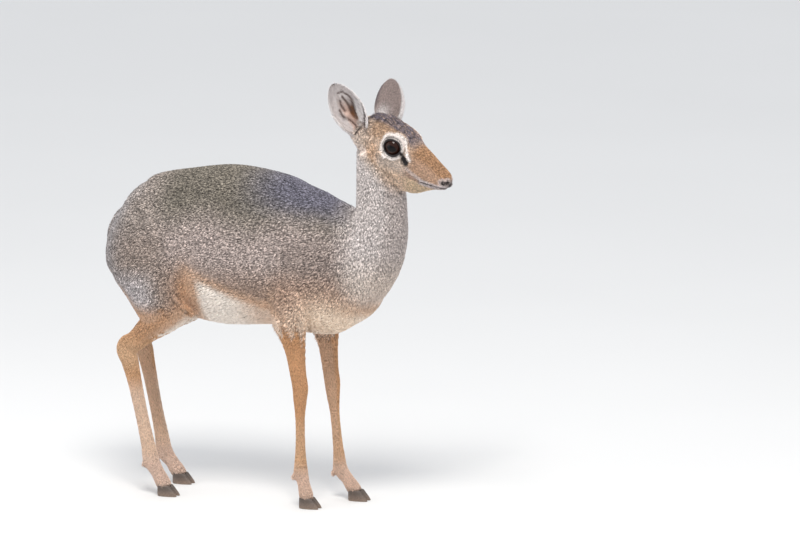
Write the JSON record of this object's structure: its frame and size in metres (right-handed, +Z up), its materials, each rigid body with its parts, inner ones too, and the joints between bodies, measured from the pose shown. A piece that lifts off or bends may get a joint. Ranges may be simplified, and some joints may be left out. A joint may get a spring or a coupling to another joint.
{
  "type": "dik-dik",
  "caption": "Life-size standing dik-dik, a very small slender antelope, as a still museum model.",
  "frame": {"origin": "on the floor, under the middle of the whole animal's box", "axes": "+X the way the body faces, +Y the animal's left, +Z up"},
  "size_m": [0.4786, 0.1324, 0.5332],
  "materials": {
    "coat": "short dense grizzled grey-brown fur, matte",
    "leg_coat": "very short close tan fur, matte",
    "ear": "thin skin with short fur, soft sheen",
    "nose": "bare dark moist skin",
    "eye": "wet dark brown, nearly black",
    "hoof": "dark horn, satin"
  },
  "bodies": {
    "root": {"ear_left": "ear", "ear_right": "ear", "eye_left": "eye", "eye_right": "eye", "fore_left_hoof_a": "hoof", "fore_left_hoof_b": "hoof", "fore_left_leg": "leg_coat", "fore_left_shank": "leg_coat", "fore_right_hoof_a": "hoof", "fore_right_hoof_b": "hoof", "fore_right_leg": "leg_coat", "fore_right_shank": "leg_coat", "head": "coat", "hind_left_hoof_a": "hoof", "hind_left_hoof_b": "hoof", "hind_left_leg": "leg_coat", "hind_left_shank": "leg_coat", "hind_right_hoof_a": "hoof", "hind_right_hoof_b": "hoof", "hind_right_leg": "leg_coat", "hind_right_shank": "leg_coat", "neck": "coat", "tail": "coat", "torso": "coat"}
  },
  "joints": []
}
